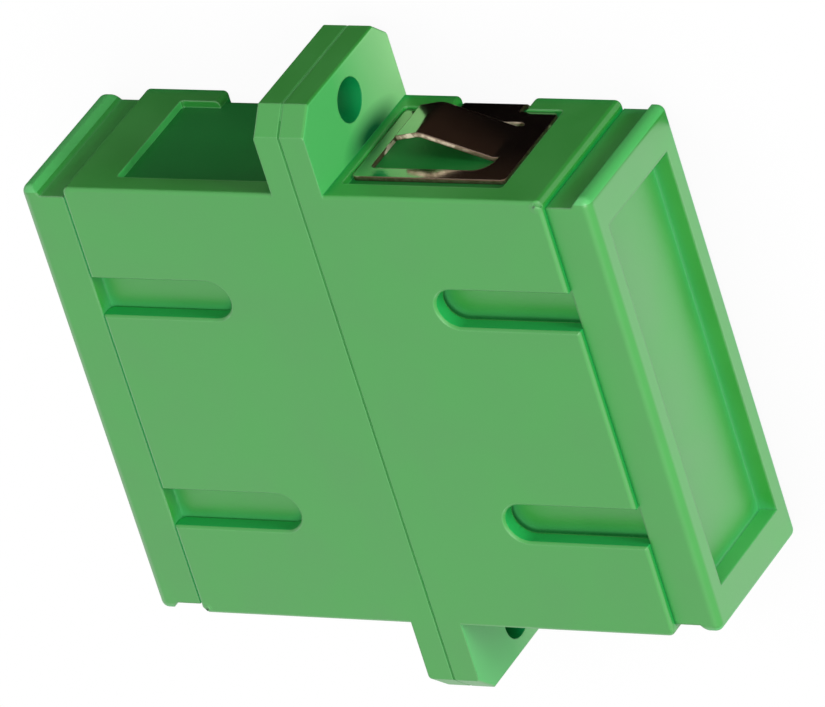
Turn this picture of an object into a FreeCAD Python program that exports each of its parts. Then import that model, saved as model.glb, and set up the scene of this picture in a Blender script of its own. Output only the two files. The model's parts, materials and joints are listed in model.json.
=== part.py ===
# SC duplex fibre adapter with panel flange, one metal panel clip and two duplex dust caps.
# Frame: origin at the centre of the flange, on the weld plane between the two housing halves.
# X runs across the two ports, Y along the fibre, Z is up through the keyway side. Millimetres.

import FreeCAD, Part
import math
import os

from FreeCAD import Vector

# Connector interface
port_pitch = 12.7        # between the two fibre axes
port_w = 9.05            # port opening, X
port_h = 7.45            # port opening, Z
port_corner_r = 0.3
port_lead_in = 0.3       # chamfer round the mouth of a port

# Housing halves
side_wall = 1.925        # outside each port, X
long_wall = 0.875        # above and below the ports, Z
half_l = 13.7            # from the weld plane to the port face
body_end_r = 0.35        # upright corners of the port face
body_edge_r = 0.2
weld_groove = 0.07       # chamfer on each half that leaves a fine groove at the weld

# Flange
ear_l = 4.55             # past the body's side
flange_half_t = 1.45     # each half carries one leaf of the flange
ear_chamfer = 1.2        # corners on the keyway side
ear_back_chamfer = 0.95
flange_edge_r = 0.15
hole_inset = 1.95        # from the ear's end to the middle of its hole
hole_d = 2.3

# Weld pegs between the halves
peg_out = 0.05           # middle of the peg past the body's side
peg_d = 1.4
peg_l = 0.8
peg_fit = 0.03           # radial
peg_end_gap = 0.1

# Keyway slots in the +Z wall, one for each port
key_w = 2.2
key_inner_end = 5.95     # from the weld plane to the round end
key_bevel = 0.12         # broken edge round the mouth of the slot

# Recess for a panel clip, in both narrow sides of each half
recess_depth = 0.4
recess_flange_rim = 0.5  # rim left between the flange and the recess
recess_port_rim = 2.65   # rim left between the recess and the port face
recess_long_rim = 1.15   # rim left along the +Z and -Z faces
recess_corner_r = 0.2
notch_inset = 2.75       # from the recess's flange end to the strap channel
notch_w = 4.1
notch_edge_r = 0.3
strap_corner_r = 0.3     # housing corner that the strap is bent round

# Latch insert: base plate, two latch arms and half of the sleeve holder
seat_ledge = 0.55        # how far the base plate reaches past the port on each side
seat_fit = 0.05
insert_plate_t = 1.0
insert_corner = 0.25
arm_t = 0.7
arm_h = 3.4
arm_flex_gap = 0.55      # room for the arm to spring outwards
arm_root = 0.3
hook_reach = 0.55
hook_catch = 7.3         # catch face, from the weld plane
hook_flat = 0.25
hook_ramp = 0.85
holder_wall = 0.6
holder_lip_t = 0.55
holder_lip_d = 2.9       # lets the ferrule in and keeps the sleeve from coming out

# Split alignment sleeve
sleeve_l = 11.4
sleeve_d = 3.2
sleeve_bore = 2.5
sleeve_slit = 0.5
sleeve_fit = 0.05        # radial, in its holder
sleeve_end_gap = 0.05

# Panel clip, bent from one strip of spring steel
sheet_t = 0.25
bend_r = 0.3             # inside radius of the bends
crest_r = 1.0            # and of the one at a tongue's crest
clip_play = 0.02         # between the sheet and the housing
clip_flange_gap = 0.05   # side plate to the recess wall, towards the flange
clip_port_gap = 0.3
clip_back_gap = 0.05
clip_front_gap = 0.85
clip_corner_r = 0.3
strap_w = 3.5
window_flange_bar = 0.7
window_port_bar = 1.4
window_front_bar = 0.8
window_back_bar = 0.93
window_corner_r = 0.3
window_wide_r = 1.0      # the corner towards the port and the front
tongue_w = 2.8
tongue_back_gap = 0.3    # from the tongue to the window's back edge
tongue_root = 0.35       # flat length before the tongue leaves the plate
tongue_tip_gap = 1.16    # from the tip to the window's end, along Y
tongue_rise = 1.35       # outer face of the crest above the side plate
tip_run = 1.34
tip_drop = 0.25

# Duplex dust cap
plug_l = 8.3             # into the port
plug_fit = 0.2           # gap to the port on each side
plug_seat_gap = 0.05     # what is left of it, in Z, where a cap sits high or low in its ports
plug_wall = 0.8
plug_corner = 0.3        # broken long edges of a plug and its hollow
plug_tip_chamfer = 0.2
arm_slot_gap = 0.4       # slot in the plug's side walls, each side of a latch arm
arm_slot_end_gap = 0.5
neck_inset_x = 0.55      # neck inside the housing's outline
neck_inset_z = 0.2
neck_gap = 0.02          # a seated neck stands this far off the port face
neck_l = 1.85
rim_l = 0.65
rim_step = 0.5           # rim past the neck, in X
rim_flare = 0.45         # length of the slope from the neck to the rim
rim_edge_r = 0.45        # outer edges and corners of the rim
web_t = 1.0              # between the hollow of a plug and the pocket
pocket_w = 21.2
pocket_h = 6.5
pocket_depth = 1.05

overcut = 1.0            # how far a cutting tool runs past a face

# Sizes worked out from the ones above
body_w = port_pitch + port_w + 2 * side_wall
body_h = port_h + 2 * long_wall
side_x = body_w / 2
top_z = body_h / 2
ear_x = side_x + ear_l
hole_x = ear_x - hole_inset
peg_x = side_x + peg_out
port_x = [-port_pitch / 2, port_pitch / 2]
recess_y0 = flange_half_t + recess_flange_rim
recess_y1 = half_l - recess_port_rim
recess_h = body_h - 2 * recess_long_rim
recess_floor = side_x - recess_depth
notch_y = recess_y0 + notch_inset + notch_w / 2
insert_seat_y = insert_plate_t + seat_fit
arm_outer = port_w / 2 - arm_flex_gap
arm_inner = arm_outer - arm_t
hook_end = hook_catch + hook_flat + hook_ramp
holder_bore = sleeve_d + 2 * sleeve_fit
holder_d = holder_bore + 2 * holder_wall
holder_stop = sleeve_l / 2 + sleeve_end_gap
clip_plate_x = recess_floor + clip_play
clip_y0 = recess_y0 + clip_flange_gap
clip_y1 = recess_y1 - clip_port_gap
clip_l = clip_y1 - clip_y0
clip_z0 = -recess_h / 2 + clip_back_gap
clip_z1 = recess_h / 2 - clip_front_gap
window_y0 = clip_y0 + window_flange_bar
window_y1 = clip_y1 - window_port_bar
window_z0 = clip_z0 + window_back_bar
window_z1 = clip_z1 - window_front_bar
tongue_root_y = window_y1 - tongue_root
tongue_tip_y = window_y0 + tongue_tip_gap
tongue_z0 = window_z0 + tongue_back_gap
plug_w = port_w - 2 * plug_fit
plug_h = port_h - 2 * plug_fit
plug_tip = half_l - plug_l
neck_w = body_w - 2 * neck_inset_x
neck_h = body_h - 2 * neck_inset_z
rim_w = neck_w + 2 * rim_step
neck_y0 = half_l + neck_gap
neck_y1 = neck_y0 + neck_l
cap_end = neck_y1 + rim_l
cap_shift = plug_fit - plug_seat_gap


def block(x0, x1, y0, y1, z0, z1):
    return Part.makeBox(x1 - x0, y1 - y0, z1 - z0, Vector(x0, y0, z0))


def rod_y(radius, y0, y1, x=0.0, z=0.0):
    return Part.makeCylinder(radius, y1 - y0, Vector(x, y0, z), Vector(0, 1, 0))


def prism(points, direction):
    # A closed flat outline pushed along a direction.
    corners = [Vector(*p) for p in points]
    outline = Part.makePolygon(corners + [corners[0]])
    return Part.Face(outline).extrude(Vector(*direction))


def edges_where(shape, axis, test):
    # Straight edges along one axis whose middle passes the test.
    found = []
    for edge in shape.Edges:
        if len(edge.Vertexes) != 2 or edge.Curve.TypeId != "Part::GeomLine":
            continue
        start = edge.Vertexes[0].Point
        run = edge.Vertexes[1].Point - start
        if abs(abs(run.normalize().dot(Vector(*axis))) - 1) > 1e-6:
            continue
        if test((start + edge.Vertexes[1].Point) * 0.5):
            found.append(edge)
    return found


def rounded_bar_y(w, h, r, y0, y1, x=0.0, z=0.0):
    # A bar along Y with rounded long edges.
    bar = block(x - w / 2, x + w / 2, y0, y1, z - h / 2, z + h / 2)
    return bar.makeFillet(r, edges_where(bar, (0, 1, 0), lambda p: True))


def broken_bar_y(w, h, c, y0, y1, x=0.0):
    # A bar along Y with its long edges broken at 45 degrees.
    half_w = w / 2
    half_h = h / 2
    quarter = [(half_w, half_h - c), (half_w - c, half_h)]
    outline = quarter + [(-u, v) for u, v in reversed(quarter)]
    outline += [(-u, -v) for u, v in outline]
    return prism([(x + u, y0, v) for u, v in outline], (0, y1 - y0, 0))


def rounded_pad_x(y0, y1, z0, z1, r, x0, x1):
    # A pad facing X with rounded corners.
    pad = block(x0, x1, y0, y1, z0, z1)
    return pad.makeFillet(r, edges_where(pad, (1, 0, 0), lambda p: True))


def turned_round(shape):
    # The same part turned half a turn about Z, on to the other side of the weld plane.
    turned = shape.copy()
    turned.rotate(Vector(0, 0, 0), Vector(0, 0, 1), 180)
    return turned


def bent_sheet(path, inside_radii, thickness, width_dir):
    # A folded sheet: straight runs through the middle of the sheet, joined by bends.
    # The outline is offset half a thickness to each side and pushed along width_dir.
    pts = [Vector(*p) for p in path]
    width = Vector(*width_dir)
    side = Vector(*width_dir).normalize()
    dirs = [(b - a).normalize() for a, b in zip(pts, pts[1:])]
    left = []
    right = []
    start = pts[0]
    for i, run in enumerate(dirs):
        out = run.cross(side) * (thickness / 2)
        end = pts[i + 1]
        bend = None
        if i + 1 < len(dirs):
            turn = run.getAngle(dirs[i + 1])
            mid_r = inside_radii[i] + thickness / 2
            trim = mid_r * math.tan(turn / 2)
            bend = end + dirs[i + 1] * trim
            end = end - run * trim
        left.append(Part.makeLine(start + out, end + out))
        right.append(Part.makeLine(start - out, end - out))
        if bend is not None:
            next_out = dirs[i + 1].cross(side) * (thickness / 2)
            inward = (dirs[i + 1] - run).normalize()
            centre = pts[i + 1] + inward * (mid_r / math.cos(turn / 2))
            for edges, sign in ((left, 1), (right, -1)):
                a = end + out * sign
                b = bend + next_out * sign
                through = centre - inward * (a - centre).Length
                edges.append(Part.Arc(a, through, b).toShape())
            start = bend
    tail = Part.makeLine(left[-1].Vertexes[-1].Point, right[-1].Vertexes[-1].Point)
    head = Part.makeLine(right[0].Vertexes[0].Point, left[0].Vertexes[0].Point)
    outline = Part.Wire(Part.__sortEdges__(left + right + [tail, head]))
    return Part.Face(outline).extrude(width)


def housing_blank():
    # Body and flange leaf in one outline, with the edges softened before anything is cut.
    plan = [
        (-ear_x, 0, -top_z),
        (ear_x, 0, -top_z),
        (ear_x, flange_half_t, -top_z),
        (side_x, flange_half_t, -top_z),
        (side_x, half_l, -top_z),
        (-side_x, half_l, -top_z),
        (-side_x, flange_half_t, -top_z),
        (-ear_x, flange_half_t, -top_z),
    ]
    blank = prism(plan, (0, 0, body_h))
    for sign, chamfer in ((1, ear_chamfer), (-1, ear_back_chamfer)):
        ears = edges_where(blank, (0, 1, 0), lambda p: abs(p.x) > ear_x - 0.01 and p.z * sign > top_z - 0.01)
        blank = blank.makeChamfer(chamfer, ears)
    corners = edges_where(blank, (0, 0, 1), lambda p: p.y > half_l - 0.01)
    blank = blank.makeFillet(body_end_r, corners)
    ridges = edges_where(blank, (0, 1, 0), lambda p: abs(abs(p.x) - side_x) < 0.01 and p.y > flange_half_t)
    port_face = edges_where(blank, (1, 0, 0), lambda p: p.y > half_l - 0.01)
    blank = blank.makeFillet(body_edge_r, ridges + port_face)
    leaf = [e for e in blank.Edges if all(abs(v.Point.y - flange_half_t) < 0.01 for v in e.Vertexes)]
    leaf = [e for e in leaf if min(abs(v.Point.x) for v in e.Vertexes) > side_x + 0.01]
    blank = blank.makeFillet(flange_edge_r, leaf)
    weld = [e for e in blank.Edges if all(abs(v.Point.y) < 0.01 for v in e.Vertexes)]
    return blank.makeChamfer(weld_groove, weld)


def port_cutter(x):
    # The port, its lead-in at the mouth and the wider seat for the insert's base plate.
    bore = rounded_bar_y(port_w, port_h, port_corner_r, -overcut, half_l + overcut, x)
    mouth = [(port_w / 2, half_l - port_lead_in), (port_w / 2 + 2 * port_lead_in, half_l + port_lead_in)]
    corners = [(-1, -1), (1, -1), (1, 1), (-1, 1), (-1, -1)]
    rings = []
    for half_w, y in mouth:
        half_h = half_w - port_w / 2 + port_h / 2
        rings.append(Part.makePolygon([Vector(x + half_w * u, y, half_h * v) for u, v in corners]))
    lead_in = Part.makeLoft(rings, True)
    seat_x = port_w / 2 + seat_ledge
    seat = block(x - seat_x, x + seat_x, -overcut, insert_seat_y, -port_h / 2, port_h / 2)
    return bore.fuse([lead_in, seat])


def keyway_cutter(x):
    slot_r = key_w / 2
    inner = key_inner_end + slot_r
    height = top_z - port_h / 2 + 2 * overcut
    z0 = port_h / 2 - overcut
    channel = block(x - slot_r, x + slot_r, inner, half_l + overcut, z0, z0 + height)
    round_end = Part.makeCylinder(slot_r, height, Vector(x, inner, z0), Vector(0, 0, 1))
    low = top_z - key_bevel
    bevel = [(-slot_r, low), (slot_r, low), (slot_r + 2 * key_bevel, low + 2 * key_bevel),
             (-slot_r - 2 * key_bevel, low + 2 * key_bevel)]
    mouth = prism([(x + u, inner, z) for u, z in bevel], (0, half_l + overcut - inner, 0))
    mouth_end = Part.makeCone(slot_r, slot_r + 2 * key_bevel, 2 * key_bevel, Vector(x, inner, low),
                              Vector(0, 0, 1))
    return channel.fuse([round_end, mouth, mouth_end])


def clip_recess_cutter():
    # Both side recesses, joined by the strap channel across the back.
    y0 = notch_y - notch_w / 2
    y1 = notch_y + notch_w / 2
    x1 = side_x + overcut
    channel_z = -top_z + recess_depth
    pads = []
    for sign in (-1, 1):
        lo, hi = sorted((sign * recess_floor, sign * x1))
        pads.append(rounded_pad_x(recess_y0, recess_y1, -recess_h / 2, recess_h / 2, recess_corner_r, lo, hi))
        pads.append(block(lo, hi, y0, y1, -top_z - overcut, -recess_h / 2 + recess_corner_r))
    strap = block(-x1, x1, y0, y1, -top_z - overcut, channel_z)
    return strap.fuse(pads)


def round_strap_corners(shape):
    # The corners that the strap wraps, and the rim ends beside it.
    channel_z = -top_z + recess_depth

    def wrapped(p):
        return abs(abs(p.x) - recess_floor) < 0.01 and abs(p.z - channel_z) < 0.01

    shape = shape.makeFillet(strap_corner_r, edges_where(shape, (0, 1, 0), wrapped))

    def rim_end(p):
        beside = abs(abs(p.y - notch_y) - notch_w / 2) < 0.01
        return beside and abs(abs(p.x) - side_x) < 0.01 and p.z < -recess_h / 2

    return shape.makeFillet(notch_edge_r, edges_where(shape, (0, 0, 1), rim_end))


def housing_half():
    # Modelled on the +Y side. Both halves come from the same mould.
    half = housing_blank()
    half = round_strap_corners(half.cut(clip_recess_cutter()))
    cutters = [port_cutter(x) for x in port_x] + [keyway_cutter(x) for x in port_x]
    for sign in (-1, 1):
        cutters.append(rod_y(hole_d / 2, -overcut, flange_half_t + overcut, sign * hole_x))
    cutters.append(rod_y(peg_d / 2 + peg_fit, -overcut, peg_l + peg_end_gap, -peg_x))
    peg = rod_y(peg_d / 2, -peg_l, weld_groove, peg_x)
    return half.cut(cutters).fuse(peg).removeSplitter()


def latch_arm():
    # One arm on the +X side of the fibre axis, hook inwards.
    outline = [
        (arm_outer, 0, 0),
        (arm_outer, hook_end, 0),
        (arm_inner, hook_end, 0),
        (arm_inner - hook_reach, hook_catch + hook_flat, 0),
        (arm_inner - hook_reach, hook_catch, 0),
        (arm_inner, hook_catch, 0),
        (arm_inner, 0, 0),
    ]
    outline = [(x, y, -arm_h / 2) for x, y, z in outline]
    return prism(outline, (0, 0, arm_h))


def latch_insert():
    # Centred on the fibre axis, on the +Y side of the weld plane.
    plate_w = port_w + 2 * seat_ledge - 2 * seat_fit
    plate_h = port_h - 2 * seat_fit
    plate = broken_bar_y(plate_w, plate_h, insert_corner, 0, insert_plate_t)
    arm = latch_arm()
    other_arm = arm.mirror(Vector(0, 0, 0), Vector(1, 0, 0))
    holder = rod_y(holder_d / 2, 0, holder_stop + holder_lip_t)
    insert = plate.fuse([arm, other_arm, holder]).removeSplitter()

    def at_root(p):
        near_plate = abs(p.y - insert_plate_t) < 0.01
        return near_plate and arm_inner - 0.01 < abs(p.x) < arm_outer + 0.01

    insert = insert.makeChamfer(arm_root, edges_where(insert, (0, 0, 1), at_root))
    bore = rod_y(holder_bore / 2, -overcut, holder_stop)
    lip = rod_y(holder_lip_d / 2, 0, holder_stop + holder_lip_t + overcut)
    flare_r = holder_lip_d / 2
    flare = Part.makeCone(flare_r, flare_r + holder_lip_t, holder_lip_t,
                          Vector(0, holder_stop + holder_lip_t / 2, 0), Vector(0, 1, 0))
    return insert.cut([bore, lip, flare])


def split_sleeve():
    tube = rod_y(sleeve_d / 2, -sleeve_l / 2, sleeve_l / 2).cut(rod_y(sleeve_bore / 2, -sleeve_l, sleeve_l))
    slit = block(-sleeve_slit / 2, sleeve_slit / 2, -sleeve_l, sleeve_l, 0, sleeve_d)
    return tube.cut(slit)


def panel_clip():
    # Modelled on the +Y side: a U-shaped band, trimmed to plates and strap, then the tongues.
    mid_x = clip_plate_x + sheet_t / 2
    mid_z = -top_z + recess_depth - clip_play - sheet_t / 2
    side = ear_x
    band = [(mid_x, clip_z1), (mid_x, mid_z), (-mid_x, mid_z), (-mid_x, clip_z1)]
    clip = bent_sheet([(x, clip_y0, z) for x, z in band], [bend_r, bend_r], sheet_t, (0, clip_l, 0))
    for lo, hi in ((clip_y0 - overcut, notch_y - strap_w / 2), (notch_y + strap_w / 2, clip_y1 + overcut)):
        clip = clip.cut(block(-side, side, lo, hi, -body_h, clip_z0))

    def plate_corner(p):
        return min(abs(p.y - clip_y0), abs(p.y - clip_y1)) < 0.01

    clip = clip.makeFillet(clip_corner_r, edges_where(clip, (1, 0, 0), plate_corner))
    window = block(-side, side, window_y0, window_y1, window_z0, window_z1)

    def wide_corner(p):
        return p.y > window_y1 - 0.01 and p.z > window_z1 - 0.01

    window = window.makeFillet(window_corner_r, edges_where(window, (1, 0, 0), lambda p: not wide_corner(p)))
    clip = clip.cut(window.makeFillet(window_wide_r, edges_where(window, (1, 0, 0), wide_corner)))
    crest_x = mid_x + tongue_rise
    for sign in (-1, 1):
        run = [
            (sign * mid_x, clip_y1 - sheet_t, tongue_z0),
            (sign * mid_x, tongue_root_y, tongue_z0),
            (sign * crest_x, tongue_tip_y + tip_run, tongue_z0),
            (sign * (crest_x - tip_drop), tongue_tip_y, tongue_z0),
        ]
        clip = clip.fuse(bent_sheet(run, [bend_r, crest_r], sheet_t, (0, 0, tongue_w)))
    return clip.removeSplitter()


def cap_plug(x):
    # Hollow plug for one port, open at its tip, with a slot on each side for a latch arm.
    plug = broken_bar_y(plug_w, plug_h, plug_corner, plug_tip, neck_y0, x)
    tip_edges = [e for e in plug.Edges if all(abs(v.Point.y - plug_tip) < 0.01 for v in e.Vertexes)]
    return plug.makeChamfer(plug_tip_chamfer, tip_edges)


def plug_hollow(x):
    w = plug_w - 2 * plug_wall
    h = plug_h - 2 * plug_wall
    floor = cap_end - pocket_depth - web_t
    hollow = broken_bar_y(w, h, plug_corner, plug_tip - overcut, floor, x)
    half_slot_w = plug_w / 2 + overcut
    half_slot_h = arm_h / 2 + arm_slot_gap
    slot_end = hook_end + arm_slot_end_gap
    slots = block(x - half_slot_w, x + half_slot_w, plug_tip - overcut, slot_end, -half_slot_h, half_slot_h)
    return hollow.fuse(slots)


def dust_cap():
    # Modelled on the +Y side: neck and rim in one outline, plugs towards the weld plane.
    half_neck = neck_w / 2
    half_rim = rim_w / 2
    rim_y0 = neck_y1 - rim_flare
    plan = [
        (-half_neck, neck_y0, -neck_h / 2),
        (half_neck, neck_y0, -neck_h / 2),
        (half_neck, rim_y0, -neck_h / 2),
        (half_rim, neck_y1, -neck_h / 2),
        (half_rim, cap_end, -neck_h / 2),
        (-half_rim, cap_end, -neck_h / 2),
        (-half_rim, neck_y1, -neck_h / 2),
        (-half_neck, rim_y0, -neck_h / 2),
    ]
    head = prism(plan, (0, 0, neck_h))
    head = head.makeFillet(rim_edge_r, edges_where(head, (0, 1, 0), lambda p: p.y > neck_y1))
    outer = [e for e in head.Edges if all(v.Point.y > cap_end - 0.01 for v in e.Vertexes)]
    head = head.makeFillet(rim_edge_r, outer)
    floor = cap_end - pocket_depth
    pocket = block(-pocket_w / 2, pocket_w / 2, floor, cap_end + overcut, -pocket_h / 2, pocket_h / 2)
    cap = head.fuse([cap_plug(x) for x in port_x])
    return cap.cut([plug_hollow(x) for x in port_x] + [pocket]).removeSplitter()


def moved(shape, x, z=0.0):
    placed = shape.copy()
    placed.translate(Vector(x, 0, z))
    return placed


def build():
    half = housing_half()
    insert = latch_insert()
    sleeve = split_sleeve()
    cap = dust_cap()
    parts = {
        "rear_housing": half,
        "front_housing": turned_round(half),
        "panel_clip": turned_round(panel_clip()),
        "rear_dust_cap": moved(cap, 0, cap_shift),
        "front_dust_cap": moved(turned_round(cap), 0, -cap_shift),
    }
    for name, x in zip(("left", "right"), port_x):
        parts["rear_insert_" + name] = moved(insert, x)
        parts["front_insert_" + name] = moved(turned_round(insert), x)
        parts["sleeve_" + name] = moved(sleeve, x)
    return parts


os.makedirs("parts", exist_ok=True)
for node, shape in build().items():
    if shape.ShapeType != "Solid" and len(shape.Solids) == 1:
        shape = shape.Solids[0]
    shape.exportStep("parts/" + node + ".step")
    box = shape.BoundBox
    print(node, shape.ShapeType, shape.isValid(), round(shape.Volume, 2), "mm3",
          [round(v, 2) for v in (box.XMin, box.YMin, box.ZMin, box.XMax, box.YMax, box.ZMax)])
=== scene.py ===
import bpy
import json
import math
from mathutils import Matrix, Vector

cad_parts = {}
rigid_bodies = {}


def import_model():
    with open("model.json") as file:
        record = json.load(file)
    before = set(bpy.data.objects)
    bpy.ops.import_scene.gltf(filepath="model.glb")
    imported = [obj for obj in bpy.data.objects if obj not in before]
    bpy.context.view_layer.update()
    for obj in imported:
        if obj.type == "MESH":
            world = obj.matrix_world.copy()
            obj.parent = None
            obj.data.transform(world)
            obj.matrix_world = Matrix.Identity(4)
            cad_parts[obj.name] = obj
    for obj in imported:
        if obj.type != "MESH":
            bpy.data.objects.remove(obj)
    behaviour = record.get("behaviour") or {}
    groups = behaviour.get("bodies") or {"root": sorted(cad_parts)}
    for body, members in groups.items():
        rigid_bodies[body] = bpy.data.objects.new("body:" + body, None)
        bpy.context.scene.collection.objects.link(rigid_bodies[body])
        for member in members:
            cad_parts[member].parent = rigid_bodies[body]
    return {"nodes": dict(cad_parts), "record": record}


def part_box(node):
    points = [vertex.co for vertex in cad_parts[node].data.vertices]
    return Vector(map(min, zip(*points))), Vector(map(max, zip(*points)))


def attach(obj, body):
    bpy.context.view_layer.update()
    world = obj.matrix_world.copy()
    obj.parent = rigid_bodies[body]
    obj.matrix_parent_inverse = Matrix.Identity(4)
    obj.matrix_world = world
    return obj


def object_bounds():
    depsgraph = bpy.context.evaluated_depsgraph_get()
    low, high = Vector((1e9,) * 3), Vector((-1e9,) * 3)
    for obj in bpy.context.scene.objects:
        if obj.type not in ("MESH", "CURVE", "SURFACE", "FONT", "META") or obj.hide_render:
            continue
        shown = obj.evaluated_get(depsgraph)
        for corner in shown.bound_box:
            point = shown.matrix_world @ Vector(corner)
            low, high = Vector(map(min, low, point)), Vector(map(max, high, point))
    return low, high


# Duplex fibre adapter with its dust caps and panel clip.
# Finishes, weld flash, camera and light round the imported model, in metres.

for leftover in list(bpy.data.objects):
    bpy.data.objects.remove(leftover)

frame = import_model()
cadLow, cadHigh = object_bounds()
nodes = frame["nodes"]
print("frame loaded with", len(nodes), "nodes")


# Places to go by. The part is alike on both sides of the flange and of the middle.

body = {"side": 0.0128, "recessDepth": 0.0004, "recessRim": 0.00265}    # these show in no node's box

mounts = {mount["name"]: mount for mount in frame["record"]["mounts"]}
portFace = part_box("rear_housing")[1].y
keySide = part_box("rear_housing")[1].z
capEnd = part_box("rear_dust_cap")[1].y
portMiddle = mounts["rear_port_right"]["pos_m"][0]
flangeFace = mounts["flange_rear_face"]["pos_m"][1]
holeMiddle = mounts["flange_holes"]["dims"]["spacing_x_mm"] / 2000
holeRadius = mounts["flange_holes"]["dims"]["hole_r_mm"] / 1000
recessFloor = body["side"] - body["recessDepth"]
recessEnd = portFace - body["recessRim"]


def around(middle, reach):
    return (middle - reach, middle + reach)


# What all the finishes share.

surface = {
    "bevelSamples": 6,
    "creaseSamples": 6,
    "sharpTurn": 0.9,    # cosine between plain and softened normal on a fully sharp edge
    "toneSpan": (0.35, 0.65),    # the part of the slow noise that the two tones are spread over
    "roughSpan": (0.3, 0.7),     # and the part of a noise that the roughness is spread over
    "cloudDetail": 3.0,
    "grainDetail": 2.0,
    "grainRoughness": 0.6,
}


def startMaterial(name):
    material = bpy.data.materials.new(name)
    material.use_nodes = True
    tree = material.node_tree
    return material, tree, tree.nodes["Principled BSDF"]


def addNode(tree, kind, inputs=None, **settings):
    node = tree.nodes.new(kind)
    for key, value in settings.items():
        setattr(node, key, value)
    for key, value in (inputs or {}).items():
        if isinstance(value, bpy.types.NodeSocket):
            tree.links.new(value, node.inputs[key])
        else:
            node.inputs[key].default_value = value
    return node


def objectPoint(tree):
    return addNode(tree, "ShaderNodeTexCoord").outputs["Object"]


def faceNormal(tree):
    return addNode(tree, "ShaderNodeNewGeometry").outputs["Normal"]


def splitAxes(tree, vector):
    return addNode(tree, "ShaderNodeSeparateXYZ", {"Vector": vector}).outputs


def addNoise(tree, point, scale, detail, roughness=0.5):
    wanted = {"Vector": point, "Scale": scale, "Detail": detail, "Roughness": roughness}
    return addNode(tree, "ShaderNodeTexNoise", wanted).outputs["Fac"]


def addMath(tree, operation, first, second=None, clamp=False):
    wanted = {0: first} if second is None else {0: first, 1: second}
    return addNode(tree, "ShaderNodeMath", wanted, operation=operation, use_clamp=clamp).outputs[0]


def multiply(tree, first, *others):
    for other in others:
        first = addMath(tree, "MULTIPLY", first, other)
    return first


def unsigned(tree, value):
    return addMath(tree, "ABSOLUTE", value)


def isAbove(tree, value, limit):
    return addMath(tree, "GREATER_THAN", value, limit)


def isBelow(tree, value, limit):
    return addMath(tree, "LESS_THAN", value, limit)


def isWithin(tree, value, span):
    # The same span on both sides of the middle.
    away = unsigned(tree, value)
    return multiply(tree, isAbove(tree, away, span[0]), isBelow(tree, away, span[1]))


def addRange(tree, value, low, high, newLow, newHigh):
    wanted = {"Value": value, "From Min": low, "From Max": high, "To Min": newLow, "To Max": newHigh}
    return addNode(tree, "ShaderNodeMapRange", wanted, clamp=True).outputs["Result"]


def mixValue(tree, share, first, second):
    return addNode(tree, "ShaderNodeMix", {0: share, 2: first, 3: second}).outputs[0]


def asColour(value):
    return value if isinstance(value, bpy.types.NodeSocket) else (*value, 1)


def mixColour(tree, share, first, second):
    wanted = {0: share, 6: asColour(first), 7: asColour(second)}
    return addNode(tree, "ShaderNodeMix", wanted, data_type="RGBA").outputs[2]


def softNormal(tree, radius):
    wanted = {"Radius": radius}
    return addNode(tree, "ShaderNodeBevel", wanted, samples=surface["bevelSamples"]).outputs["Normal"]


def edgeShare(tree, soft):
    # 0 on flats, rising to 1 on a sharp edge.
    wanted = {0: soft, 1: faceNormal(tree)}
    turn = addNode(tree, "ShaderNodeVectorMath", wanted, operation="DOT_PRODUCT").outputs["Value"]
    return addRange(tree, turn, 1.0, surface["sharpTurn"], 0.0, 1.0)


def addCloud(tree, point, scale):
    return addNoise(tree, point, scale, surface["cloudDetail"])


def addGrain(tree, point, scale):
    return addNoise(tree, point, scale, surface["grainDetail"], surface["grainRoughness"])


def mixTones(tree, cloud, look):
    share = addRange(tree, cloud, *surface["toneSpan"], 0.0, 1.0)
    return mixColour(tree, share, look["deep"], look["colour"])


def spreadRough(tree, noise, look):
    return addRange(tree, noise, *surface["roughSpan"], *look["rough"])


def finishShader(tree, shader, look, colour, rough, grain, soft):
    wanted = {"Strength": 1.0, "Distance": look["bumpHeight"], "Height": grain, "Normal": soft}
    bump = addNode(tree, "ShaderNodeBump", wanted)
    tree.links.new(colour, shader.inputs["Base Color"])
    tree.links.new(rough, shader.inputs["Roughness"])
    tree.links.new(bump.outputs["Normal"], shader.inputs["Normal"])


# Moulded green plastic of the housing, the caps and the flash.
# A band is a strip of faces: the axis and span of their place, the axis that they face and
# how squarely at least, and their colour and gloss.

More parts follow.
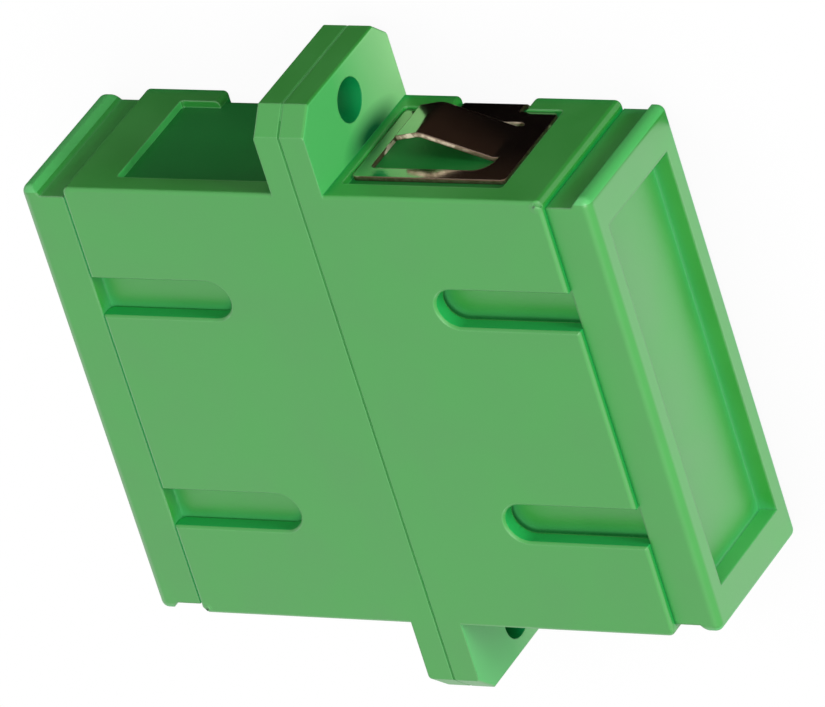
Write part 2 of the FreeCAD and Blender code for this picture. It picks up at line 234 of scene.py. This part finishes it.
housingLook = {
    "colour": (0.020, 0.356, 0.031),
    "deep": (0.018, 0.340, 0.028),
    # painted highlight: sharp edges are lightened towards this colour
    "edge": (0.120, 0.500, 0.140),
    "edgeMix": 0.7,
    "edgeRadius": 0.00012,
    "crease": (0.003, 0.350, 0.070),    # painted shade, richer where light bounces between two walls
    "creaseReach": 0.0008,
    "creaseSpan": (0.88, 0.45),         # from none to full as less of the sky is open
    "creaseGloss": 0.06,
    "shallowSpan": (recessFloor + 0.00001, body["side"] - 0.00001),    # recess walls, open to the light
    "shallowCrease": 0.2,
    "seep": (0.008, 0.095, 0.026),    # painted glow in thin gaps, standing in for light that the plastic lets through
    "seepSpan": (0.40, 0.08),
    "cloudScale": 230.0,     # slow drift of the colour
    "grainScale": 6500.0,    # fine grain of the mould
    "bumpHeight": 0.000004,
    "rough": (0.40, 0.50),
    "gloss": (0.52, 0.94),    # on faces turned to the eye, and on faces turned aside
    "asideSpan": (0.30, 0.48),
    "ior": 2.0,
    "bands": (
        {   # recess floors, darkened by painted shade
            "axis": "X", "span": around(recessFloor, 0.00008), "faces": "X", "least": 0.8,
            "colour": (0.012, 0.230, 0.040), "gloss": 0.15,
        },
        {   # recess end walls, lightened by painted light
            "axis": "Y", "span": around(recessEnd, 0.0001), "faces": "Y", "least": 0.8,
            "colour": (0.080, 0.700, 0.150), "gloss": 0.90,
        },
        {   # rounded port rims, lightened by a painted highlight
            "axis": "Y", "span": (portFace - 0.00035, portFace - 0.00001), "faces": "Y", "least": 0.6,
            "colour": (0.085, 0.380, 0.095), "gloss": 0.40,
        },
    ),
    "slot": {    # side walls of the keyway slots, lightened by painted light
        "span": around(portMiddle, 0.00115),
        "floor": keySide - 0.0008,
        "steepest": 0.6,
        "colour": (0.022, 0.490, 0.110),
        "gloss": 0.12,
    },
    "flange": {
        "axis": "Y", "span": around(flangeFace, 0.00003), "faces": "Y", "least": 0.8,
        # painted light: the flange's faces are lighter than the body
        "colour": (0.075, 0.510, 0.125), "gloss": 0.30,
        "sheen": (0.280, 0.660, 0.280),    # painted sheen: the faces pale towards the back
        "sheenSpan": (0.001, -0.0045),
        "hole": (0.002, 0.320, 0.085),    # painted shade inside the screw holes
        "holeGloss": 0.12,
        "holeSpan": around(holeMiddle, 0.0014),
        "holeHalf": holeRadius + 0.00015,
        "holeFacing": 0.5,
        "contact": (body["side"], -flangeFace, -0.0009),    # painted shade where the clip's tongue darkens the flange
        "contactReach": (0.0014, 0.0003),
        "contactStretch": 0.45,
        "contactShade": (0.004, 0.110, 0.035),
        "contactGloss": 0.06,
    },
}
capLook = {
    **housingLook,
    "colour": (0.021, 0.361, 0.033),
    # painted highlight on the caps' edges
    "edge": (0.090, 0.420, 0.100),
    "edgeRadius": 0.0002,
    # painted light in the caps' creases, paler than on the housing
    "crease": (0.070, 0.460, 0.150),
    "cloudScale": 260.0,
    "bands": (
        {   # sides of the rim, lightened by painted light
            "axis": "Y", "span": (capEnd - 0.00094, capEnd + 0.00006), "faces": "X", "least": 0.3,
            "colour": (0.070, 0.540, 0.120), "gloss": 0.50,
        },
    ),
    "slot": None,
    "flange": None,
}
flashLook = {
    **housingLook,
    "colour": (0.120, 0.520, 0.150),
    "deep": (0.080, 0.420, 0.100),
    "gloss": (0.20, 0.30),
    "bands": (
        {   # the dark line along the joint
            "axis": "Z", "span": (keySide - 0.0006, keySide + 0.0004), "faces": "Z", "least": 0.6,
            "colour": (0.030, 0.310, 0.045), "gloss": 0.20,
        },
    ),
    "slot": None,
    "flange": None,
}


def paint(tree, coat, share, colour, gloss):
    coat["colour"] = mixColour(tree, share, coat["colour"], colour)
    coat["gloss"] = mixValue(tree, share, coat["gloss"], gloss)


def bandShare(tree, place, facing, band):
    square = isAbove(tree, unsigned(tree, facing[band["faces"]]), band["least"])
    return multiply(tree, isWithin(tree, place[band["axis"]], band["span"]), square)


def paintSlots(tree, coat, place, facing, look):
    upright = isBelow(tree, unsigned(tree, facing["Z"]), look["steepest"])
    raised = isAbove(tree, place["Z"], look["floor"])
    inSlot = multiply(tree, upright, raised, isWithin(tree, place["X"], look["span"]))
    paint(tree, coat, inSlot, look["colour"], look["gloss"])


def paintFlange(tree, coat, place, onFlange, look):
    paint(tree, coat, onFlange, look["colour"], look["gloss"])
    fade = addRange(tree, place["Z"], *look["sheenSpan"], 0.0, 1.0)
    paint(tree, coat, multiply(tree, onFlange, fade), look["sheen"], look["gloss"])


def paintHoles(tree, coat, place, facing, look):
    low = isBelow(tree, unsigned(tree, place["Z"]), look["holeHalf"])
    sideways = isBelow(tree, unsigned(tree, facing["Y"]), look["holeFacing"])
    inHole = multiply(tree, low, sideways, isWithin(tree, place["X"], look["holeSpan"]))
    paint(tree, coat, inHole, look["hole"], look["holeGloss"])


def paintContact(tree, coat, place, onFlange, look):
    # A painted patch of shade. Distances along Z are shrunk, which draws the patch out that way.
    x, y, z = look["contact"]
    stretch = look["contactStretch"]
    shrunk = {
        "X": unsigned(tree, place["X"]),
        "Y": place["Y"],
        "Z": multiply(tree, place["Z"], stretch),
    }
    spot = addNode(tree, "ShaderNodeCombineXYZ", shrunk).outputs[0]
    ends = {0: spot, 1: (x, y, z * stretch)}
    away = addNode(tree, "ShaderNodeVectorMath", ends, operation="DISTANCE").outputs["Value"]
    near = addRange(tree, away, *look["contactReach"], 0.0, 1.0)
    paint(tree, coat, multiply(tree, near, onFlange), look["contactShade"], look["contactGloss"])


def makeGreen(name, look):
    material, tree, shader = startMaterial(name)
    point = objectPoint(tree)
    place = splitAxes(tree, point)
    facing = splitAxes(tree, faceNormal(tree))
    cloud = addCloud(tree, point, look["cloudScale"])
    grain = addGrain(tree, point, look["grainScale"])
    soft = softNormal(tree, look["edgeRadius"])
    # Painted highlight: sharp edges lightened towards the edge colour.
    edge = multiply(tree, edgeShare(tree, soft), look["edgeMix"])
    colour = mixColour(tree, edge, mixTones(tree, cloud, look), look["edge"])
    # Painted crease shade, from how much of the sky a point sees.
    reach = {"Distance": look["creaseReach"]}
    samples = surface["creaseSamples"]
    openness = addNode(tree, "ShaderNodeAmbientOcclusion", reach, samples=samples).outputs["AO"]
    crease = addRange(tree, openness, *look["creaseSpan"], 0.0, 1.0)
    inShallow = isWithin(tree, place["X"], look["shallowSpan"])
    crease = multiply(tree, crease, addRange(tree, inShallow, 0.0, 1.0, 1.0, look["shallowCrease"]))
    aside = addNode(tree, "ShaderNodeLayerWeight", {"Blend": 0.5}).outputs["Facing"]
    coat = {"colour": colour, "gloss": addRange(tree, aside, *look["asideSpan"], *look["gloss"])}
    paint(tree, coat, crease, look["crease"], look["creaseGloss"])
    for band in look["bands"]:
        paint(tree, coat, bandShare(tree, place, facing, band), band["colour"], band["gloss"])
    if look["slot"]:
        paintSlots(tree, coat, place, facing, look["slot"])
    if look["flange"]:
        onFlange = bandShare(tree, place, facing, look["flange"])
        paintFlange(tree, coat, place, onFlange, look["flange"])
        paintHoles(tree, coat, place, facing, look["flange"])
        paintContact(tree, coat, place, onFlange, look["flange"])
    finishShader(tree, shader, look, coat["colour"], spreadRough(tree, cloud, look), grain, soft)
    tree.links.new(coat["gloss"], shader.inputs["Specular IOR Level"])
    # Painted glow, stronger where little of the sky is open.
    seep = addRange(tree, openness, *look["seepSpan"], 0.0, 1.0)
    tree.links.new(seep, shader.inputs["Emission Strength"])
    shader.inputs["Emission Color"].default_value = (*look["seep"], 1)
    shader.inputs["IOR"].default_value = look["ior"]
    return material


housingGreen = makeGreen("housingGreen", housingLook)
capGreen = makeGreen("capGreen", capLook)
flashGreen = makeGreen("flashGreen", flashLook)
print("green plastics ready")


# Bright spring steel of the panel clip.

steelLook = {
    "colour": (0.72, 0.68, 0.60),
    "deep": (0.64, 0.60, 0.53),
    "cloudScale": 420.0,
    "rough": (0.104, 0.169),
    "grainScale": 9000.0,
    "grainStretch": 0.06,    # rolling lines run along the strip
    "grainDetail": 3.0,
    "bumpHeight": 0.0000012,
    "edgeRadius": 0.00012,
    "edgeDull": 0.8,
    "cutEdge": (0.24, 0.14, 0.09),
    "cutRough": 0.50,
    "sideCutSpan": (0.35, 0.25),    # faces that turn away from X are cut sides
    "endCutSpan": (0.6, 0.7),       # and those that turn to Y are cut ends
    "strapTop": -0.0037,    # below this height the strip is the strap, which faces down
    "burr": (1.0, 0.81, 0.66),    # bright grains along the sheared edges: real burr, brightened by a painted highlight
    "burrScale": 2600.0,
    "burrDetail": 2.0,
    "burrRoughness": 0.7,
    "burrSpan": (0.40, 0.60),
    "leastBurr": 0.35,
    "coreSharpness": 3.0,    # how tightly the burr keeps to the middle of a cut face
    "proudSpan": (body["side"] + 0.0001, body["side"] + 0.0005),    # where a tongue stands proud and its cut edges get the full painted highlight
    "plainBurr": 0.2,    # and how much of the burr shows elsewhere
    "sparkScale": 900.0,
    "sparkDetail": 1.0,
    "sparkSpan": (0.64, 0.70),
    "tornCut": 0.12,
    "tornMetal": 0.2,    # metallic share left where the edge is torn
}


def makeSteel(name, look):
    material, tree, shader = startMaterial(name)
    point = objectPoint(tree)
    place = splitAxes(tree, point)
    facing = splitAxes(tree, faceNormal(tree))
    rolled = {"Vector": point, "Scale": (1.0, look["grainStretch"], 1.0)}
    along = addNode(tree, "ShaderNodeMapping", rolled).outputs["Vector"]
    grain = addNoise(tree, along, look["grainScale"], look["grainDetail"], surface["grainRoughness"])
    cloud = addCloud(tree, point, look["cloudScale"])
    soft = softNormal(tree, look["edgeRadius"])
    edge = edgeShare(tree, soft)
    # The sheared faces of the strip.
    sideCut = addRange(tree, unsigned(tree, facing["X"]), *look["sideCutSpan"], 0.0, 1.0)
    sideCut = multiply(tree, sideCut, isAbove(tree, place["Z"], look["strapTop"]))
    endCut = addRange(tree, unsigned(tree, facing["Y"]), *look["endCutSpan"], 0.0, 1.0)
    cut = addMath(tree, "MAXIMUM", sideCut, endCut)
    dull = addMath(tree, "MAXIMUM", cut, multiply(tree, edge, look["edgeDull"]))
    # Burr along them with a painted highlight, and a few painted glints.
    middle = addMath(tree, "POWER", addMath(tree, "SUBTRACT", 1.0, edge), look["coreSharpness"])
    proud = addRange(tree, unsigned(tree, place["X"]), *look["proudSpan"], look["plainBurr"], 1.0)
    burrNoise = addNoise(tree, point, look["burrScale"], look["burrDetail"], look["burrRoughness"])
    grains = addRange(tree, burrNoise, *look["burrSpan"], look["leastBurr"], 1.0)
    sparkNoise = addNoise(tree, point, look["sparkScale"], look["sparkDetail"])
    paintedGlints = addRange(tree, sparkNoise, *look["sparkSpan"], 0.0, 1.0)
    burr = multiply(tree, cut, middle, proud, grains)
    burr = addMath(tree, "MAXIMUM", burr, multiply(tree, dull, paintedGlints))
    colour = mixColour(tree, dull, mixTones(tree, cloud, look), look["cutEdge"])
    colour = mixColour(tree, burr, colour, look["burr"])
    rough = mixValue(tree, dull, spreadRough(tree, grain, look), look["cutRough"])
    finishShader(tree, shader, look, colour, rough, grain, soft)
    torn = addMath(tree, "MAXIMUM", burr, multiply(tree, cut, look["tornCut"]))
    tree.links.new(addRange(tree, torn, 0.0, 1.0, 1.0, look["tornMetal"]), shader.inputs["Metallic"])
    return material


springSteel = makeSteel("springSteel", steelLook)
print("spring steel ready")


# Latch inserts and split sleeves, seen when a cap is pulled.

insertLook = {
    "colour": (0.68, 0.63, 0.52),
    "deep": (0.62, 0.57, 0.46),
    "cloudScale": 300.0,
    "grainScale": 7000.0,
    "bumpHeight": 0.000004,
    "edgeRadius": 0.0001,
    "rough": (0.405, 0.5175),
    "ior": 1.5,
}
sleeveLook = {
    "colour": (0.83, 0.81, 0.75),
    "deep": (0.78, 0.76, 0.70),
    "cloudScale": 500.0,
    "grainScale": 12000.0,
    "bumpHeight": 0.0000008,
    "edgeRadius": 0.0001,
    "rough": (0.162, 0.207),
    "ior": 2.1,
}


def makePale(name, look):
    material, tree, shader = startMaterial(name)
    point = objectPoint(tree)
    cloud = addCloud(tree, point, look["cloudScale"])
    grain = addGrain(tree, point, look["grainScale"])
    soft = softNormal(tree, look["edgeRadius"])
    colour = mixTones(tree, cloud, look)
    finishShader(tree, shader, look, colour, spreadRough(tree, grain, look), grain, soft)
    shader.inputs["IOR"].default_value = look["ior"]
    return material


naturalInsert = makePale("naturalInsert", insertLook)
zirconia = makePale("zirconia", sleeveLook)

finishes = {
    "rear_housing": housingGreen,
    "front_housing": housingGreen,
    "rear_dust_cap": capGreen,
    "front_dust_cap": capGreen,
    "panel_clip": springSteel,
}
for side in ("left", "right"):
    finishes["rear_insert_" + side] = naturalInsert
    finishes["front_insert_" + side] = naturalInsert
    finishes["sleeve_" + side] = zirconia
for nodeName, material in finishes.items():
    for slot in nodes[nodeName].material_slots:
        slot.material = material
print("finishes put on", len(finishes), "carried-over nodes")


# Weld flash round the joint between the housing halves.

flash = {
    "width": 0.00014,
    "depth": 0.00005,
    "sink": 0.00001,    # how far it stays below the moulded faces
    "cornerCut": 0.0012,    # the flange's corner chamfer, towards the keyways
    "backCornerCut": 0.00095,
    "step": 0.0004,    # between the cuts along the band
    "wander": 0.00013,
    "waveSize": 0.0035,
    "sides": {    # which way each side lies, and its shares of the wave's size and height
        "toRear": (1, 1.0, 1.0),
        "toFront": (-1, 0.8, 1.3),
    },
    "endFacing": 0.9,    # faces that turn this far to Y are the ends
    "tolerance": 0.000001,
}


def selectFaces(piece, test):
    bpy.ops.object.mode_set(mode="OBJECT")
    for face in piece.data.polygons:
        face.select = test(face)
    bpy.ops.object.mode_set(mode="EDIT")


def selectEdges(piece, test):
    bpy.ops.object.mode_set(mode="EDIT")
    bpy.ops.mesh.select_all(action="DESELECT")
    bpy.ops.mesh.select_mode(type="EDGE")
    bpy.ops.object.mode_set(mode="OBJECT")
    points = piece.data.vertices
    for edge in piece.data.edges:
        first, second = (points[i].co for i in edge.vertices)
        edge.select = test(first, second)
    bpy.ops.object.mode_set(mode="EDIT")


def cutCorners(ring, halfHeight, sign, cut, tolerance):
    # The two corners on one side, cut as the flange's are.
    def isCorner(first, second):
        beyond = halfHeight - tolerance
        upright = abs(first.x - second.x) < tolerance
        return upright and first.z * sign > beyond and second.z * sign > beyond

    selectEdges(ring, isCorner)
    bpy.ops.mesh.bevel(offset=cut, segments=1, affect="EDGES")


def hollowOut(ring, look):
    # The middle is taken out, so that a thin band is left.
    bpy.ops.mesh.select_mode(type="FACE")
    selectFaces(ring, lambda face: abs(face.normal.y) > look["endFacing"])
    bpy.ops.mesh.inset(thickness=look["depth"], depth=0)
    bpy.ops.mesh.delete(type="FACE")
    bpy.ops.mesh.select_mode(type="EDGE")
    bpy.ops.mesh.select_all(action="DESELECT")
    bpy.ops.mesh.select_non_manifold()
    bpy.ops.mesh.bridge_edge_loops()


def cutAlong(axis, span, step):
    # Cuts along the band give it room to wander.
    count = int(span / step)
    direction = [0.0, 0.0, 0.0]
    direction[axis] = 1.0
    for i in range(1, count):
        place = [0.0, 0.0, 0.0]
        place[axis] = -span / 2 + span * i / count
        bpy.ops.mesh.select_all(action="SELECT")
        bpy.ops.mesh.bisect(plane_co=place, plane_no=direction)


def makeFlash(look):
    low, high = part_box("rear_housing")
    spanX = high.x - low.x - 2 * look["sink"]
    spanZ = high.z - low.z - 2 * look["sink"]
    bpy.ops.object.select_all(action="DESELECT")
    bpy.ops.mesh.primitive_cube_add(size=1, location=(0, 0, 0))
    ring = bpy.context.object
    ring.name = "weld_flash"
    bpy.ops.object.mode_set(mode="EDIT")
    bpy.ops.transform.resize(value=(spanX, look["width"], spanZ))
    cutCorners(ring, spanZ / 2, 1, look["cornerCut"], look["tolerance"])
    cutCorners(ring, spanZ / 2, -1, look["backCornerCut"], look["tolerance"])
    hollowOut(ring, look)
    cutAlong(0, spanX, look["step"])
    cutAlong(2, spanZ, look["step"])
    bpy.ops.mesh.select_all(action="SELECT")
    bpy.ops.mesh.normals_make_consistent(inside=False)
    bpy.ops.object.mode_set(mode="OBJECT")
    return ring


def wanderSide(ring, sideName, sign, waveSize, waveHeight):
    group = ring.vertex_groups.new(name=sideName)
    members = [point.index for point in ring.data.vertices if point.co.y * sign > 0]
    group.add(members, 1.0, "REPLACE")
    drift = bpy.data.textures.new("flash_" + sideName, "CLOUDS")
    drift.noise_scale = waveSize
    bpy.context.view_layer.objects.active = ring
    wave = ring.modifiers.new("wander", "DISPLACE")
    wave.texture = drift
    wave.texture_coords = "LOCAL"
    wave.direction = "Y"
    wave.mid_level = 0.5
    wave.strength = waveHeight
    wave.vertex_group = sideName
    bpy.ops.object.modifier_apply(modifier=wave.name)


weldFlash = makeFlash(flash)
for sideName, (sign, sizeShare, heightShare) in flash["sides"].items():
    waveSize = flash["waveSize"] * sizeShare
    wanderSide(weldFlash, sideName, sign, waveSize, flash["wander"] * heightShare)
weldFlash.data.materials.append(flashGreen)
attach(weldFlash, "adapter")
print("weld flash made:", len(weldFlash.data.polygons), "faces")


# Camera, off to the clip side and above.

view = {
    "azimuth": 43.582,
    "elevation": 44.388,
    "roll": 141.529,
    "distance": 0.59245,
    "aim": (0.00022774, -0.00014804, -0.00026994),
    "lens": 522.49,
    "sensorWidth": 36.0,
    "clip": (0.02, 20.0),
}


def makeCamera(look):
    azimuth = math.radians(look["azimuth"])
    elevation = math.radians(look["elevation"])
    away = Vector((
        math.sin(azimuth) * math.cos(elevation),
        -math.cos(azimuth) * math.cos(elevation),
        math.sin(elevation),
    ))
    upright = away.to_track_quat("Z", "Y").to_matrix()
    turned = (upright @ Matrix.Rotation(-math.radians(look["roll"]), 3, "Z")).to_4x4()
    camera = bpy.data.objects.new("mainCamera", bpy.data.cameras.new("mainCamera"))
    bpy.context.scene.collection.objects.link(camera)
    camera.matrix_world = Matrix.Translation(Vector(look["aim"]) + away * look["distance"]) @ turned
    camera.data.sensor_width = look["sensorWidth"]
    camera.data.lens = look["lens"]
    camera.data.clip_start, camera.data.clip_end = look["clip"]
    return camera


bpy.context.scene.camera = makeCamera(view)
print("camera set")


# Pale floor, a dark card beside the clip, the room's light and two softboxes.

floorLook = {
    "size": 6.0,
    "drop": 0.00002,    # below the lowest face, so that the two don't flicker
    "bounce": (0.80, 0.80, 0.78),
    "shadowReach": 0.008,
    "shadowDepth": 0.06,
    "shadowSamples": 12,
}
cardLook = {
    "near": body["side"] - 0.0014,    # it starts under the body's side
    "far": 0.075,
    "half": 0.060,
    "lift": 0.00001,
    "black": (0.006, 0.004, 0.004),
    "brown": (0.035, 0.019, 0.0146),
    "blendSpan": (body["side"] + 0.003, body["side"] + 0.0052),    # painted reflection for the clip: black beside the body, then brown
}
roomLook = {"light": (0.26, 0.26, 0.255), "seen": (1.0, 1.0, 1.0)}
lamps = {
    "frontSoftbox": {
        "direction": (0.30, -0.94, 0.14),
        "distance": 0.60,
        "size": (0.24, 0.14),
        "watts": 1.76,
        "colour": (1.0, 0.985, 0.95),
        "mirrored": False,    # no glare along the flat faces
    },
    "topSoftbox": {
        "direction": (0.12, -0.38, 1.0),
        "distance": 0.60,
        "size": (0.30, 0.30),
        "watts": 1.74,
        "colour": (1.0, 0.985, 0.94),
        "mirrored": True,
    },
}


def seenDirectly(tree):
    # 1 for camera, glossy and transmission rays, 0 for the rest.
    path = addNode(tree, "ShaderNodeLightPath").outputs
    both = addMath(tree, "ADD", path["Is Camera Ray"], path["Is Glossy Ray"], clamp=True)
    return addMath(tree, "ADD", both, path["Is Transmission Ray"], clamp=True)


def layPlane(name, size, place):
    bpy.ops.object.select_all(action="DESELECT")
    bpy.ops.mesh.primitive_plane_add(size=1, location=place)
    plane = bpy.context.object
    plane.name = name
    plane.scale = (*size, 1)
    bpy.ops.object.transform_apply(location=True, rotation=True, scale=True)
    return plane


def makeFloor(look):
    floor = layPlane("floor", (look["size"], look["size"]), (0, 0, cadLow.z - look["drop"]))
    material = bpy.data.materials.new("paleFloor")
    material.use_nodes = True
    tree = material.node_tree
    tree.nodes.clear()
    reach = {"Distance": look["shadowReach"]}
    samples = look["shadowSamples"]
    openness = addNode(tree, "ShaderNodeAmbientOcclusion", reach, samples=samples).outputs["AO"]
    pale = addRange(tree, openness, 0.0, 1.0, 1.0 - look["shadowDepth"], 1.0)
    white = addNode(tree, "ShaderNodeEmission", {"Color": pale, "Strength": 1.0}).outputs[0]
    matt = addNode(tree, "ShaderNodeBsdfDiffuse", {"Color": (*look["bounce"], 1)}).outputs[0]
    both = {0: seenDirectly(tree), 1: matt, 2: white}
    mixed = addNode(tree, "ShaderNodeMixShader", both).outputs[0]
    addNode(tree, "ShaderNodeOutputMaterial", {"Surface": mixed})
    floor.data.materials.append(material)


def makeCard(look):
    # It shows only in reflections.
    size = (look["far"] - look["near"], 2 * look["half"])
    middle = (look["near"] + look["far"]) / 2
    card = layPlane("darkCard", size, (middle, 0, cadLow.z + look["lift"]))
    material, tree, cardShader = startMaterial("darkCardFelt")
    place = splitAxes(tree, objectPoint(tree))
    share = addRange(tree, place["X"], *look["blendSpan"], 0.0, 1.0)
    tree.links.new(mixColour(tree, share, look["black"], look["brown"]), cardShader.inputs["Base Color"])
    cardShader.inputs["Roughness"].default_value = 1.0
    cardShader.inputs["Specular IOR Level"].default_value = 0.0
    card.data.materials.append(material)
    card.visible_camera = False
    card.visible_diffuse = False
    card.visible_shadow = False


def makeRoom(look):
    world = bpy.data.worlds.new("studioWorld")
    world.use_nodes = True
    bpy.context.scene.world = world
    tree = world.node_tree
    tree.nodes.clear()
    colour = mixColour(tree, seenDirectly(tree), look["light"], look["seen"])
    glow = addNode(tree, "ShaderNodeBackground", {"Color": colour, "Strength": 1.0}).outputs[0]
    addNode(tree, "ShaderNodeOutputWorld", {"Surface": glow})


def addSoftbox(name, look):
    lamp = bpy.data.lights.new(name, "AREA")
    lamp.shape = "RECTANGLE"
    lamp.size, lamp.size_y = look["size"]
    lamp.energy = look["watts"]
    lamp.color = look["colour"]
    box = bpy.data.objects.new(name, lamp)
    bpy.context.scene.collection.objects.link(box)
    away = Vector(look["direction"]).normalized()
    box.location = away * look["distance"]
    box.rotation_euler = away.to_track_quat("Z", "Y").to_euler()
    box.visible_glossy = look["mirrored"]


makeFloor(floorLook)
makeCard(cardLook)
makeRoom(roomLook)
for lampName, lampLook in lamps.items():
    addSoftbox(lampName, lampLook)
bpy.context.scene.view_settings.view_transform = "Standard"
print("studio ready")


print("done")
